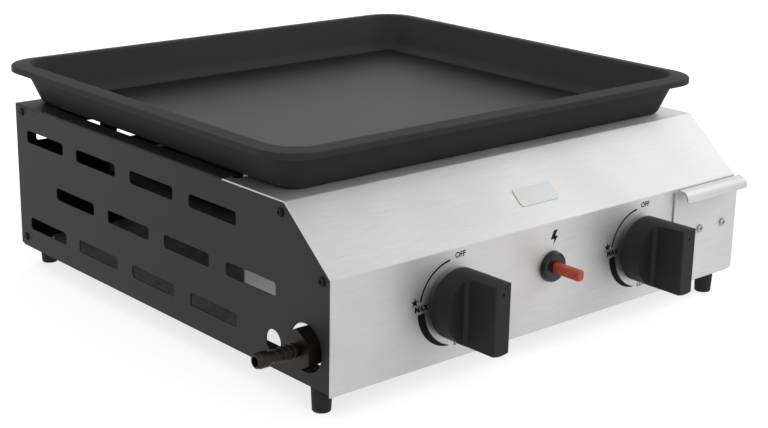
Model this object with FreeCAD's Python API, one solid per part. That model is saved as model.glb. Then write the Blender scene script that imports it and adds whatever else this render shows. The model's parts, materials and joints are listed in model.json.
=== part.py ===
import FreeCAD, Part
import math
import os
from FreeCAD import Vector as V

# Portable two-burner gas griddle, in millimetres.
# Working coordinates: x to the right from the casing's left face, y to the back from the
# vertical front face, z up from the casing's lower edge. save() moves every piece so that the
# origin is the middle of the whole object's footprint, on the surface that it stands on.

# casing
casing_w = 480.0
casing_d = 466.0
casing_h = 138.0
face_h = 90.8
slope_run = 55.7
sheet = 1.2
bend_r = 0.8
seam = 0.3
screw_head_r = 3.8
screw_head_h = 1.7
screw_r = 2.0
screw_hole_r = 2.1
nut_across = 7.0
nut_h = 3.0
panel_screw_len = 8.0
foot_screw_len = 14.0
drawer_screw_len = 7.0
past = 1.0          # how far a cutting tool runs past the face that it opens
baffle_y = 136.0
baffle_inset = 21.0
baffle_foot_z = 4.0
relief_x = 8.5
relief_y = 8.0
relief_r = 3.0
hem = 10.0
skirt = 1.8
face_tab = (20.0, 78.0, 90.5)      # depth, lower and upper edge of the face's side tabs
top_tab = (72.0, 120.0)            # back edge and lower edge of the flange's side tabs
side_flange = 30.0
flange_short = 6.0
side_top_flange = 16.0
back_flange = 50.0
back_return = 17.0
back_foot_z = 1.2
base_t = 1.0

# slots in the side and back panels
slot_len = 65.0
slot_h = 11.5
slot_r = 3.0
slot_pitch = 88.2
slot_count = 4
row_z = (25.0, 65.2, 109.3)
row_start = (19.4, 70.1, 19.4)
back_slot_start = 19.4
back_slot_len = 70.0
back_slot_z = (104.5, 93.0, 104.5, 93.0, 104.5)
side_screw_at = ((455.0, 131.0), (457.0, 9.0), (60.5, 128.5), (10.5, 87.5))

# griddle plate
rim_x0 = -6.5
rim_x1 = 486.5
rim_y0 = 46.2
rim_y1 = 485.4
rim_z = 173.9
rim_r = 36.0
lip_w = 15.0
lip_rise = 1.8
lip_join = 9.0
lip_edge_r = 1.5
lip_t = 3.0
lip_drop = 5.4
bead_w = 2.0
wall_run = 15.5
wall_corner = 42.0      # the rim outline's corner that the wall's corners run round with
plate_t = 3.0
wall_t = 6.0
floor_reach = 38.5
lip_fillet = 4.0
floor_fillet = 12.0
foot_fillet = 6.0
drain_x = 438.0
drain_y = 98.0
drain_r = 6.0
spout_r = 9.0
spout_len = 9.0
flange_hole_r = 13.0

# gas line, valves and knobs
gas_y = 31.0
gas_z = 29.4
manifold_r = 8.0
manifold_bore = 6.0
manifold_x0 = 14.0
manifold_x1 = 372.0
manifold_cap = 6.0
bracket_x = 40.0
bracket_half = 12.0
bracket_t = 1.5
inlet_hole_r = 19.5
inlet_hole_y = 29.5
inlet_nut_across = 30.0
inlet_nut_x = -8.0
inlet_nut_len = 14.0
spare_hole = (69.5, 22.6, 9.5)
nozzle_tip_x = -46.0
barb_r = 6.4
nozzle_thread_len = 14.0
knob_x = (123.1, 346.3)
knob_z = 47.6
knob_r = 29.0
knob_front_r = 29.6
knob_back_y = -6.0
knob_front_y = -55.5
knob_disc_y = -26.5
knob_hollow_y = -18.0
knob_wall = 3.0
disc_fall = 2.0
scoop_r = 4.0
grip_edge_r = 1.2
pointer_up = 20.5
pointer_r = 1.3
pointer_deep = 0.8
grip_half = 8.2
grip_root_half = 10.2
spindle_r = 4.0
spindle_flat = 2.6
spindle_y0 = -30.0
spindle_y1 = 32.0
spindle_hole_r = 6.0
valve_stub_r = 4.0
gas_way_r = 1.6
fit_clear = 0.05
plug_r = 7.0
plug_y0 = 28.0
plug_y1 = 43.5
plug_socket_y = 36.0
collar_y = 20.4
collar_t = 2.0
spring_y0 = 22.5
valve_half_w = 12.0
valve_y0 = 16.0
valve_y1 = 48.0
valve_z0 = 38.0
valve_z1 = 59.6
valve_chamber = (20.0, 44.0)
bonnet_y = 8.0
bonnet_r = 9.0
outlet_y = 52.0
jet_across = 11.0
jet_hex_len = 6.0
jet_tip_len = 12.0
jet_hole_r = 0.6

# igniter and spark electrodes
igniter_x = 236.5
igniter_z = 52.5
bezel_r = 13.5
bezel_t = 5.5
button_w = 7.8
button_h = 9.4
button_r = 2.6
button_tip_y = -33.0
button_shoulder_y = 10.4
button_shoulder_r = 7.6
housing_r = 10.0
housing_back_y = 62.0
neck_r = 7.9
neck_y0 = -3.4
spring_front_y = 13.1
cavity_y0 = 10.0
cavity_y1 = 46.0
cavity_r = 8.0
lead_r = 1.5
electrode_dx = 30.0
electrode_z = 86.0
electrode_r = 0.95
insulator_r = 3.5
insulator_y0 = 122.0
insulator_y1 = 160.0
spark_y = 178.0
spark_gap = 4.0

# burners
burner_z = 70.0
burner_r = 11.0
burner_wall = 1.0
loop_r = 50.0
loop_y0 = 240.0
loop_y1 = 390.0
burner_mouth_y = 64.0
rise_y0 = 150.0
rise_y1 = 174.0
rise_r = 22.0
air_y0 = 72.0
air_y1 = 84.0
air_half = 4.0
burner_flange_half = 26.0
burner_flange_t = 1.5
burner_screw_dx = 20.0
bracket_screw_dx = 10.0
port_r = 1.5
ports_per_leg = 12

# grease drawer
tray_x0 = 420.0
tray_x1 = 472.0
tray_y1 = 126.0
tray_z0 = 8.0
tray_z1 = 56.0
tray_t = 0.8
tray_r = 3.0
tray_room = 1.5
left_runner_x = 416.5
runner_shelf = 11.5
runner_web = 14.0
drawer_x0 = 393.5
drawer_x1 = 484.5
drawer_z0 = -0.4
drawer_z1 = 90.0
drawer_gap = 0.2
lip_x0 = 398.0
lip_x1 = 484.5
lip_out = 11.0
lip_lean = 80.0        # degrees from upright, and so is the end's lean
lip_r = 1.2
lip_end = 8.6
lip_end_lean = 8.0
lip_knee_r = 5.8
lip_corner_r = 3.0
drawer_corner_r = 3.0
drawer_screw_x = (432.4, 465.4)
drawer_screw_z = 48.0

# feet
foot_h = 21.0
foot_r = 8.5
foot_tip_r = 7.4
foot_seat_z = -9.0
foot_at = {"front_left": (9.0, 21.0), "front_right": (459.5, 10.0),
           "back_left": (24.0, 458.0), "back_right": (459.0, 452.0)}

# badge on the slope: middle along x, distance up the slope, width, height, thickness
badge_x = 237.0
badge_up = 28.9
badge_w = 45.5
badge_h = 17.7
badge_t = 0.6
badge_r = 3.0

row_origin = V((nozzle_tip_x + rim_x1) / 2, (knob_front_y + rim_y1) / 2, -foot_h)
os.makedirs("parts", exist_ok=True)


def save(node, shape):
    solid = shape.copy()
    solid.translate(-row_origin)
    solid.exportStep("parts/" + node + ".step")
    print(node, len(solid.Solids), round(solid.Volume), solid.isValid())


def box(x0, x1, y0, y1, z0, z1):
    return Part.makeBox(x1 - x0, y1 - y0, z1 - z0, V(x0, y0, z0))


def rod(start, end, radius):
    return Part.makeCylinder(radius, (end - start).Length, start, end - start)


def rounded_wire(points, radii, closed=True):
    """Straight runs through the points, with a tangent arc of the given radius at each corner."""
    last = len(points) - 1
    enter, leave, middle = [], [], []
    for i, point in enumerate(points):
        if radii[i] == 0 or (not closed and i in (0, last)):
            enter.append(point)
            leave.append(point)
            middle.append(None)
            continue
        before = (points[i - 1] - point).normalize()
        after = (points[(i + 1) % (last + 1)] - point).normalize()
        half = before.getAngle(after) / 2
        inward = (before + after).normalize()
        enter.append(point + before * (radii[i] / math.tan(half)))
        leave.append(point + after * (radii[i] / math.tan(half)))
        middle.append(point + inward * (radii[i] / math.sin(half) - radii[i]))
    edges = []
    for i in range(last + 1):
        if middle[i] is not None:
            edges.append(Part.Arc(enter[i], middle[i], leave[i]).toShape())
        if i == last and not closed:
            break
        target = enter[(i + 1) % (last + 1)]
        if (target - leave[i]).Length > 1e-6:
            edges.append(Part.LineSegment(leave[i], target).toShape())
    return Part.Wire(edges)


def prism(points, radii, along):
    return Part.Face(rounded_wire(points, radii)).extrude(along)


def rounded_box(x0, x1, y0, y1, z0, z1, radius):
    """A block with its upright corners rounded."""
    corners = [V(x0, y0, z0), V(x1, y0, z0), V(x1, y1, z0), V(x0, y1, z0)]
    return prism(corners, [radius] * 4, V(0, 0, z1 - z0))


def offset_line(points, distance):
    """The (y, z) line moved sideways, to its right where the distance is positive."""
    normals = []
    for (y0, z0), (y1, z1) in zip(points, points[1:]):
        length = math.hypot(y1 - y0, z1 - z0)
        normals.append(((z1 - z0) / length, (y0 - y1) / length))
    moved = []
    for i, (y, z) in enumerate(points):
        a = normals[max(i - 1, 0)]
        b = normals[min(i, len(normals) - 1)]
        scale = distance / (1 + a[0] * b[0] + a[1] * b[1])
        moved.append((y + (a[0] + b[0]) * scale, z + (a[1] + b[1]) * scale))
    return moved


def folded(points, x0, x1, thickness):
    """Sheet folded along a (y, z) line, with its thickness to the right of the line."""
    inner = offset_line(points, thickness)
    outside, inside = [0.0], [0.0]
    for a, b, c in zip(points, points[1:], points[2:]):
        turn = (b[0] - a[0]) * (c[1] - b[1]) - (b[1] - a[1]) * (c[0] - b[0])
        outside.append(bend_r + thickness if turn < 0 else bend_r)
        inside.append(bend_r if turn < 0 else bend_r + thickness)
    outside.append(0.0)
    inside.append(0.0)
    outline = [V(x0, y, z) for y, z in points + inner[::-1]]
    return prism(outline, outside + inside[::-1], V(x1 - x0, 0, 0))


def revolved(points, radii, origin, axis):
    """A (distance along the axis, radius) outline turned about the axis."""
    side = V(0, 0, 1) if abs(axis.z) < 0.5 else V(1, 0, 0)
    outline = [origin + axis * a + side * r for a, r in points]
    return Part.Face(rounded_wire(outline, radii)).revolve(origin, axis, 360)


def turned(shape, point, direction):
    """A shape made along +Z, moved to a point and turned to a direction."""
    moved = shape.copy()
    moved.Placement = FreeCAD.Placement(point, FreeCAD.Rotation(V(0, 0, 1), direction))
    return moved


def pan_screw(point, direction, length):
    """Cross-recess pan-head screw: the head sits on the point, facing the direction."""
    outline = [(0, 0), (0, screw_head_r), (screw_head_h, screw_head_r), (screw_head_h, 0)]
    head = revolved(outline, [0, 0.2, screw_head_h * 0.7, 0], V(0, 0, 0), V(0, 0, 1))
    shank = rod(V(0, 0, 0), V(0, 0, -length), screw_r)
    arm = screw_head_r * 0.55
    half = screw_head_r * 0.11
    low = screw_head_h * 0.4
    cross = box(-arm, arm, -half, half, low, screw_head_h + past)
    cross = cross.fuse(box(-half, half, -arm, arm, low, screw_head_h + past))
    return turned(head.fuse(shank).cut(cross), point, direction)


def hex_nut(point, direction, across, height, bore, first=0):
    """Six-sided nut with its first corner at an angle from its own x axis."""
    corner = V(across / math.sqrt(3), 0, 0)
    corners = [FreeCAD.Rotation(V(0, 0, 1), first + 60 * i).multVec(corner) for i in range(6)]
    nut = prism(corners, [0] * 6, V(0, 0, height))
    return turned(nut.cut(rod(V(0, 0, -past), V(0, 0, height + past), bore)), point, direction)


front_line = [(hem, 0), (0, 0), (0, face_h), (slope_run, casing_h), (baffle_y, casing_h),
              (baffle_y, baffle_foot_z)]
slope_angle = math.atan2(casing_h - face_h, slope_run)
slope_up = V(0, math.cos(slope_angle), math.sin(slope_angle))
slope_out = V(0, -math.sin(slope_angle), math.cos(slope_angle))
baffle_front = baffle_y - sheet
base_top = sheet + base_t
wall_in = casing_w - sheet
socket_r = spindle_r + fit_clear
socket_flat = spindle_flat + fit_clear


def hole_x(x, y, z, radius):
    """A drill through a side sheet whose outer face is at x."""
    return rod(V(x - 2 * sheet - past, y, z), V(x + 2 * sheet + past, y, z), radius)


def hole_y(x, y, z, radius):
    """A drill through a sheet whose front face is at y."""
    return rod(V(x, y - past, z), V(x, y + 2 * sheet + past, z), radius)


def hole_z(x, y, z, radius):
    """A drill through a sheet whose lower face is at z."""
    return rod(V(x, y, z - past), V(x, y, z + 2 * sheet + past), radius)


def front_panel():
    """One folded sheet: face hanging below its hem, slope, top flange, baffle behind the valves."""
    panel = folded(front_line, 0, casing_w, sheet)
    panel = panel.fuse(box(0, casing_w, 0, sheet, -skirt, sheet + bend_r)).removeSplitter()
    right = casing_w - side_flange - past
    for x0, x1 in ((-past, side_flange + past), (right, casing_w + past)):
        panel = panel.cut(box(x0, x1, sheet, hem + past, -past, sheet + bend_r))
    for x0, x1 in ((-past, baffle_inset), (casing_w - baffle_inset, casing_w + past)):
        panel = panel.cut(box(x0, x1, baffle_y - relief_y, baffle_y + past, 0, casing_h - sheet))
    for x0, x1 in ((relief_x, baffle_inset), (casing_w - baffle_inset, casing_w - relief_x)):
        panel = panel.cut(rounded_box(x0, x1, baffle_y - relief_y, baffle_y + relief_y,
                                      casing_h - 2 * relief_y, casing_h + past, relief_r))
    for x0 in (sheet, casing_w - 2 * sheet):
        panel = panel.fuse(box(x0, x0 + sheet, sheet / 2, face_tab[0], face_tab[1], face_tab[2]))
        panel = panel.fuse(box(x0, x0 + sheet, slope_run + seam, top_tab[0], top_tab[1],
                               casing_h - sheet / 2))
        for y, z in side_screw_at[2:]:
            panel = panel.cut(hole_x(x0, y, z, screw_hole_r))
    for side, x in zip((1, -1), knob_x):
        panel = panel.cut(hole_y(x, 0, knob_z, spindle_hole_r))
        panel = panel.cut(hole_y(x, baffle_front, knob_z, burner_r + 0.5))
        panel = panel.cut(hole_y(x + side * electrode_dx, baffle_front, electrode_z, insulator_r + 0.7))
        for dx in (-burner_screw_dx, burner_screw_dx):
            panel = panel.cut(hole_y(x + dx, baffle_front, knob_z, screw_hole_r))
    panel = panel.cut(hole_y(igniter_x, 0, igniter_z, neck_r + seam))
    panel = panel.cut(box(tray_x0 - tray_room, tray_x1 + tray_room, -past, sheet + bend_r,
                          tray_z0 - tray_room, tray_z1 + tray_room))
    return panel.cut(hole_z(drain_x, drain_y, casing_h - sheet, flange_hole_r))


def slots_along(start, length, levels, put, depth):
    """A row of rounded slots, one for each level: put turns (distance along the panel, z) into a point."""
    cuts = []
    for i, z in enumerate(levels):
        a = start + i * slot_pitch
        b = a + length
        low, high = z - slot_h / 2, z + slot_h / 2
        corners = [put(a, low), put(b, low), put(b, high), put(a, high)]
        cuts.append(prism(corners, [slot_r] * 4, depth))
    return cuts


def side_top_fold():
    """Flange turned in along the panel's top, between the front and back panels' flanges."""
    start = baffle_y + seam
    length = casing_d - back_flange - seam - start
    low = casing_h - 2 * side_top_flange / 3
    under = casing_h - sheet
    line = [(0, low), (sheet, low), (sheet, under), (side_top_flange, under),
            (side_top_flange, casing_h), (0, casing_h)]
    corners = [V(x, start, z) for x, z in line]
    return prism(corners, [0, 0, bend_r, 0, 0, bend_r + sheet], V(0, length, 0))


def left_side_panel(with_inlet, feet):
    """Slotted sheet whose front edges follow the inside of the folded front panel."""
    inner = offset_line(front_line[1:5], sheet + seam)
    back_y = casing_d - sheet - seam
    top_z = casing_h - sheet - seam
    outline = [(inner[0][0], 0), inner[1], inner[2], (back_y, top_z), (back_y, 0)]
    panel = prism([V(0, y, z) for y, z in outline], [0, 0, 0, 1, 4], V(sheet, 0, 0))
    panel = panel.fuse(box(0, side_flange, inner[0][0] + past, back_y - flange_short, 0, sheet))
    panel = panel.fuse(side_top_fold())

    def put(a, level):
        return V(-past, casing_d - a, level)

    through = V(sheet + 2 * past, 0, 0)
    for z, start in zip(row_z, row_start):
        for cut in slots_along(start, slot_len, [z] * slot_count, put, through):
            panel = panel.cut(cut)
    for y, z in side_screw_at:
        panel = panel.cut(hole_x(0, y, z, screw_hole_r))
    for x, y in feet:
        panel = panel.cut(hole_z(x, y, 0, screw_hole_r))
    if with_inlet:
        panel = panel.cut(hole_x(0, inlet_hole_y, gas_z, inlet_hole_r))
        panel = panel.cut(hole_x(0, *spare_hole))
    return panel


def mirrored(shape):
    return shape.mirror(V(casing_w / 2, 0, 0), V(1, 0, 0))


def back_panel():
    """Slotted sheet with a top flange under the griddle plate and a return inside each side."""
    line = [(casing_d - back_flange, casing_h), (casing_d, casing_h), (casing_d, back_foot_z)]
    panel = folded(line, 0, casing_w, sheet)
    for x0 in (sheet, casing_w - 2 * sheet):
        panel = panel.fuse(box(x0, x0 + sheet, casing_d - back_return, casing_d - sheet / 2, back_foot_z,
                               casing_h - 2 * sheet))
        for y, z in side_screw_at[:2]:
            panel = panel.cut(hole_x(x0, y, z, screw_hole_r))

    def put(a, level):
        return V(a, casing_d + past, level)

    through = V(0, -sheet - 2 * past, 0)
    for cut in slots_along(back_slot_start, back_slot_len, back_slot_z, put, through):
        panel = panel.cut(cut)
    return panel


def base_plate():
    x0 = 2 * sheet + seam
    plate = box(x0, casing_w - x0, baffle_y + 2, casing_d - 2, sheet, base_top)
    for name in ("back_left", "back_right"):
        plate = plate.cut(hole_z(*foot_at[name], sheet, nut_across * 0.8))
    for x in knob_x:
        plate = plate.cut(hole_z(x + bracket_screw_dx, loop_y1 + loop_r, sheet, screw_hole_r))
    return plate


def panel_screws():
    screws = []
    for y, z in side_screw_at:
        screws.append(pan_screw(V(0, y, z), V(-1, 0, 0), panel_screw_len))
        screws.append(pan_screw(V(casing_w, y, z), V(1, 0, 0), panel_screw_len))
    return Part.makeCompound(screws)


def foot(name):
    x, y = foot_at[name]
    outline = [(0, 0), (0, foot_r), (-foot_h, foot_tip_r), (-foot_h, 0)]
    body = revolved(outline, [0, 0.8, 1.4, 0], V(x, y, 0), V(0, 0, 1))
    body = body.cut(rod(V(x, y, -foot_h - past), V(x, y, foot_seat_z), screw_head_r + 0.4))
    return body.cut(rod(V(x, y, foot_seat_z - past), V(x, y, past), screw_hole_r))


def foot_screws():
    pieces = []
    for x, y in foot_at.values():
        pieces.append(pan_screw(V(x, y, foot_seat_z), V(0, 0, -1), foot_screw_len))
        pieces.append(hex_nut(V(x, y, sheet), V(0, 0, 1), nut_across, nut_h, screw_r + fit_clear))
    return Part.makeCompound(pieces)


def rim_block(inset, radius, z0, z1):
    """A block as large as the rim less an inset on each side."""
    return rounded_box(rim_x0 + inset, rim_x1 - inset, rim_y0 + inset, rim_y1 - inset, z0, z1, radius)


def rim_loop(inset, radius, z):
    x0, x1 = rim_x0 + inset, rim_x1 - inset
    y0, y1 = rim_y0 + inset, rim_y1 - inset
    return rounded_wire([V(x0, y0, z), V(x1, y0, z), V(x1, y1, z), V(x0, y1, z)], [radius] * 4)


def griddle_lip(join_z):
    """Rim that falls a little towards its edge and turns down there."""
    low = rim_z - lip_drop
    lip = rim_block(0, rim_r, low, rim_z)
    lip = lip.makeFillet(lip_edge_r, [e for e in lip.Edges if e.BoundBox.ZMin > rim_z - 0.1])
    lip = lip.cut(rim_block(bead_w, rim_r - bead_w, low - past, rim_z - lip_t))
    inner_r = wall_corner - lip_join
    loops = [rim_loop(lip_edge_r, rim_r - lip_edge_r, rim_z), rim_loop(lip_join, inner_r, join_z)]
    lip = lip.fuse(Part.makeLoft(loops, True, True))
    return lip.cut(rim_block(lip_join, inner_r, low - past, join_z + past))


def griddle_plate():
    """Flat cooking floor with a drain spout under its front right corner."""
    low = casing_h
    floor = low + plate_t
    spout_z = low - spout_len
    plate = rim_block(floor_reach, wall_corner - floor_reach, low, floor)
    plate = plate.fuse(rod(V(drain_x, drain_y, spout_z), V(drain_x, drain_y, floor), spout_r))
    drain = rod(V(drain_x, drain_y, spout_z - past), V(drain_x, drain_y, floor + past), drain_r)
    return plate.cut(drain).removeSplitter()


def griddle_rim():
    """A wall section carried round a rounded rectangle, with a lip outside it."""
    low = casing_h
    floor = low + plate_t
    top = rim_z + lip_rise
    join_z = rim_z + lip_rise * (lip_join - lip_edge_r) / (lip_w - lip_edge_r)
    rise = top - floor
    lean = math.hypot(rise, wall_run) / rise
    foot_u = lip_w + wall_run + plate_t * wall_run / rise - wall_t * lean
    under_u = lip_w + (lip_rise + lip_t) * wall_run / rise - wall_t * lean
    section = [(lip_join, join_z), (lip_w, top), (lip_w + wall_run, floor), (floor_reach, floor),
               (floor_reach, low), (foot_u, low), (under_u, rim_z - lip_t), (lip_join, rim_z - lip_t)]
    radii = [0, lip_fillet, floor_fillet, 0, 0, foot_fillet, lip_fillet / 2, 0]
    x0, x1 = rim_x0 + wall_corner, rim_x1 - wall_corner
    y0, y1 = rim_y0 + wall_corner, rim_y1 - wall_corner
    sides = ((V(x0, y0, 0), V(0, -1, 0), V(x1 - x0, 0, 0)),
             (V(x1, y0, 0), V(1, 0, 0), V(0, y1 - y0, 0)),
             (V(x1, y1, 0), V(0, 1, 0), V(x0 - x1, 0, 0)),
             (V(x0, y1, 0), V(-1, 0, 0), V(0, y0 - y1, 0)))
    pieces = []
    for centre, out, along in sides:
        points = [centre + out * (wall_corner - u) + V(0, 0, z) for u, z in section]
        face = Part.Face(rounded_wire(points, radii))
        pieces.append(face.extrude(along))
        pieces.append(face.revolve(centre, V(0, 0, 1), -90))
    return griddle_lip(join_z).multiFuse(pieces).removeSplitter()


def along_gas(x0, x1, radius):
    return rod(V(x0, gas_y, gas_z), V(x1, gas_y, gas_z), radius)


def gas_manifold():
    tube = along_gas(manifold_x0, manifold_x1, manifold_r)
    tube = tube.cut(along_gas(manifold_x0 - past, manifold_x1 - manifold_cap, manifold_bore))
    for x in knob_x:
        tube = tube.cut(rod(V(x, gas_y, gas_z), V(x, gas_y, gas_z + 2 * manifold_r), valve_stub_r + 0.1))
    return tube


def manifold_bracket():
    """Upright strap round the manifold, with a foot on the side panel's flange."""
    x = bracket_x
    y0, y1 = gas_y - bracket_half, gas_y + bracket_half
    strap = box(x, x + bracket_t, y0, y1, sheet, gas_z + bracket_half)
    strap = strap.fuse(box(side_flange - bracket_half, x + bracket_t, y0, y1, sheet, sheet + bracket_t))
    return strap.cut(along_gas(x - past, x + bracket_t + past, manifold_r + 0.1))


def hose_nozzle():
    """Barbed hose tail: (distance from the tip, radius) outline about the gas line's axis."""
    bore, neck, ring_r = 3.8, 4.8, 6.0
    outline = [(0, bore), (0, barb_r - 1.1), (3.5, barb_r), (10.5, barb_r), (10.5, 4.6), (17, 4.6),
               (17, 5.6), (20, 5.6), (20, neck)]
    radii = [0, 0.9, 0, 0.3, 0.5, 0.5, 0.6, 0.6, 0.3]
    for ring in range(3):
        a = 23 + 5 * ring
        outline += [(a, neck), (a, ring_r), (a + 3, ring_r), (a + 3, neck)]
        radii += [0.2, 0.6, 0.6, 0.2]
    thread_r = manifold_bore - fit_clear
    thread_a = manifold_x0 - nozzle_tip_x
    end_a = thread_a + nozzle_thread_len
    outline += [(thread_a, neck), (thread_a, thread_r), (end_a, thread_r), (end_a, bore)]
    radii += [0, 0, 0.5, 0]
    return revolved(outline, radii, V(nozzle_tip_x, gas_y, gas_z), V(1, 0, 0))


def inlet_nut():
    seat = V(inlet_nut_x, gas_y, gas_z)
    return hex_nut(seat, V(1, 0, 0), inlet_nut_across, inlet_nut_len, 4.9)


def on_dial(x, y0, y1, radius):
    """A rod on a knob's axis, from y0 to y1."""
    return rod(V(x, y0, knob_z), V(x, y1, knob_z), radius)


def valve_body(x):
    body = box(x - valve_half_w, x + valve_half_w, valve_y0, valve_y1, valve_z0, valve_z1)
    length = valve_y1 - valve_y0
    body = body.makeFillet(2, [e for e in body.Edges if abs(e.BoundBox.YLength - length) < 0.1])
    body = body.fuse(on_dial(x, bonnet_y, valve_y0 + past, bonnet_r))
    body = body.fuse(on_dial(x, valve_y1 - past, outlet_y, bonnet_r - 1))
    stub_z = gas_z + manifold_bore - past
    body = body.fuse(rod(V(x, gas_y, stub_z), V(x, gas_y, valve_z0 + past), valve_stub_r))
    body = body.cut(on_dial(x, *valve_chamber, plug_r + fit_clear))
    body = body.cut(on_dial(x, bonnet_y - past, valve_chamber[0] + past, spindle_r + fit_clear))
    body = body.cut(rod(V(x, gas_y, stub_z - past), V(x, gas_y, knob_z), gas_way_r))
    return body.cut(on_dial(x, valve_chamber[1] - past, outlet_y + past, gas_way_r))


def d_rod(x, y0, y1, radius, flat):
    """A rod on a knob's axis with a flat along its top."""
    shaft = on_dial(x, y0, y1, radius)
    wide = 2 * radius
    return shaft.cut(box(x - wide, x + wide, y0 - past, y1 + past, knob_z + flat, knob_z + wide))


def valve_plug(x):
    plug = on_dial(x, plug_y0, plug_y1, plug_r)
    plug = plug.cut(on_dial(x, plug_socket_y + 2, plug_y1 + past, gas_way_r))
    return plug.cut(d_rod(x, plug_y0 - past, plug_socket_y, socket_r, socket_flat))


def spindle(x):
    shaft = d_rod(x, spindle_y0, spindle_y1, spindle_r, spindle_flat)
    return shaft.fuse(on_dial(x, collar_y, collar_y + collar_t, spindle_r + 1.5))


def spindle_spring(x):
    coil = on_dial(x, spring_y0, plug_y0 - 0.1, spindle_r + 1.4)
    return coil.cut(on_dial(x, spring_y0 - past, plug_y0 + past, spindle_r + 0.4))


def knob(x):
    """A flared drum with a scoop taken out of each side, leaving a full-width grip bar."""
    depth = knob_back_y - knob_front_y
    drum = Part.makeCone(knob_r, knob_front_r, depth, V(x, knob_back_y, knob_z), V(0, -1, 0))
    base = knob_z - knob_front_r - past
    for side in (1, -1):
        near = x + side * grip_half
        root = x + side * grip_root_half
        far = x + side * 2 * knob_r
        outline = [V(near, knob_front_y - past, base), V(root, knob_disc_y, base),
                   V(far, knob_disc_y + disc_fall, base), V(far, knob_front_y - past, base)]
        drum = drum.cut(prism(outline, [0, scoop_r, 0, 0], V(0, 0, 2 * (knob_front_r + past))))
    drum = drum.makeFillet(grip_edge_r, [e for e in drum.Edges if e.BoundBox.YMax < knob_front_y + 0.1])
    hollow = on_dial(x, knob_back_y + past, knob_hollow_y, knob_r - knob_wall)
    hollow = hollow.cut(on_dial(x, knob_back_y + 2 * past, knob_hollow_y - past, 2 * spindle_r))
    drum = drum.cut(hollow)
    drum = drum.cut(d_rod(x, spindle_y0 - past, knob_back_y + past, socket_r, socket_flat))
    dot_z = knob_z + pointer_up
    dot = rod(V(x, knob_front_y - past, dot_z), V(x, knob_front_y + pointer_deep, dot_z), pointer_r)
    return drum.cut(dot)


def jet(x):
    tip_y = outlet_y + jet_hex_len
    body = hex_nut(V(x, outlet_y, knob_z), V(0, 1, 0), jet_across, jet_hex_len, jet_hole_r)
    tip = Part.makeCone(4, 2.5, jet_tip_len, V(x, tip_y, knob_z), V(0, 1, 0))
    return body.fuse(tip.cut(on_dial(x, outlet_y, tip_y + 2 * jet_tip_len, jet_hole_r)))


def burner_skin(x, radius):
    """Solid of the burner's tube at one radius: inlet with an S bend, then a racetrack loop."""
    path = [V(x, burner_mouth_y, knob_z), V(x, rise_y0, knob_z), V(x, rise_y1, burner_z),
            V(x, loop_y0 - loop_r, burner_z)]
    wire = rounded_wire(path, [0, rise_r, rise_r * 0.6, 0], closed=False)
    ring = Part.Wire(Part.makeCircle(radius, path[0], V(0, 1, 0)))
    skin = wire.makePipeShell([ring], True, True)
    for side in (-1, 1):
        leg_x = x + side * loop_r
        skin = skin.fuse(rod(V(leg_x, loop_y0, burner_z), V(leg_x, loop_y1, burner_z), radius))
    for y, turn in ((loop_y0, -180), (loop_y1, 180)):
        face = Part.Face(Part.Wire(Part.makeCircle(radius, V(x + loop_r, y, burner_z), V(0, 1, 0))))
        skin = skin.fuse(face.revolve(V(x, y, burner_z), V(0, 0, 1), turn))
    return skin


def burner(x):
    inner_r = burner_r - burner_wall
    tube = burner_skin(x, burner_r).cut(burner_skin(x, inner_r))
    tube = tube.cut(on_dial(x, burner_mouth_y - past, burner_mouth_y + past, inner_r))
    wide = 2 * burner_r
    tube = tube.cut(box(x - wide, x + wide, air_y0, air_y1, knob_z - air_half, knob_z + air_half))
    for side in (-1, 1):
        leg_x = x + side * loop_r
        for i in range(ports_per_leg):
            y = loop_y0 + (loop_y1 - loop_y0) * i / (ports_per_leg - 1)
            start = V(leg_x, y, burner_z + inner_r / 2)
            tube = tube.cut(rod(start, start + V(0, 0, burner_r), port_r))
    flange = box(x - burner_flange_half, x + burner_flange_half, baffle_y, baffle_y + burner_flange_t,
                 knob_z - burner_flange_half / 2, knob_z + burner_flange_half / 2)
    flange = flange.cut(hole_y(x, baffle_y, knob_z, burner_r - burner_wall / 2))
    for dx in (-burner_screw_dx, burner_screw_dx):
        flange = flange.cut(hole_y(x + dx, baffle_y, knob_z, screw_hole_r))
    return tube.fuse(flange)


def air_shutter(x):
    """Sleeve on the burner's mouth, turned to close its air windows."""
    sleeve = on_dial(x, air_y0 - 4, air_y1 + 4, burner_r + 1.3)
    sleeve = sleeve.cut(on_dial(x, burner_mouth_y, 2 * air_y1, burner_r + 0.15))
    wide = 2 * burner_r
    return sleeve.cut(box(x - wide, x + wide, air_y0 + past, air_y1 - past, knob_z - 3, knob_z + 3))


def burner_bracket(x):
    """Upright with a cradle under the back of the loop, on a foot screwed to the base plate."""
    y = loop_y1 + loop_r
    y0, y1 = y - bracket_half, y + bracket_half
    left = x - bracket_t / 2
    plate = box(left, left + bracket_t, y0, y1, base_top, burner_z - 4)
    ends = V(left - past, y, burner_z), V(left + bracket_t + past, y, burner_z)
    plate = plate.cut(rod(*ends, burner_r + 0.2))
    foot_plate = box(left, x + 2 * bracket_screw_dx, y0, y1, base_top, base_top + bracket_t)
    foot_plate = foot_plate.cut(hole_z(x + bracket_screw_dx, y, base_top, screw_hole_r))
    return plate.fuse(foot_plate)


def burner_screws():
    screws = []
    for x in knob_x:
        for dx in (-burner_screw_dx, burner_screw_dx):
            screws.append(pan_screw(V(x + dx, baffle_front, knob_z), V(0, -1, 0), panel_screw_len))
        seat = V(x + bracket_screw_dx, loop_y1 + loop_r, base_top + bracket_t)
        screws.append(pan_screw(seat, V(0, 0, 1), panel_screw_len / 2))
    return Part.makeCompound(screws)


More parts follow.
